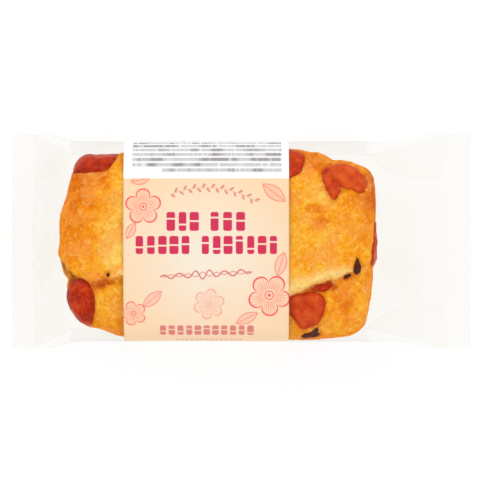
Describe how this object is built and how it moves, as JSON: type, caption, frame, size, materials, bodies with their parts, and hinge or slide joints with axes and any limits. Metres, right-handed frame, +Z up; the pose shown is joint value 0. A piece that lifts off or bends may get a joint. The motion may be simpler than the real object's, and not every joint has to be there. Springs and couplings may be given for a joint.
{
  "type": "packed fruit and cherry loaf cake",
  "caption": "Rounded fruit and cherry loaf cake in a clear flow-wrap pack with flat crimped end seals and a printed label band round its middle.",
  "frame": {"origin": "under the centre of the pack, on the surface that it rests on", "axes": "+X along the loaf towards the loose end of the pack, +Y across it, +Z up through the loaf's crown"},
  "size_m": [0.236, 0.11, 0.0552],
  "materials": {
    "clear_film": "clear glossy plastic film",
    "crust": "baked golden to amber crust, matt, with glossy dark red cherries in it",
    "printed_label": "smooth satin print, peach with a white field and crimson shapes"
  },
  "bodies": {
    "root": {"film_pack": "clear_film", "loaf": "crust", "label_band": "printed_label"}
  },
  "joints": []
}
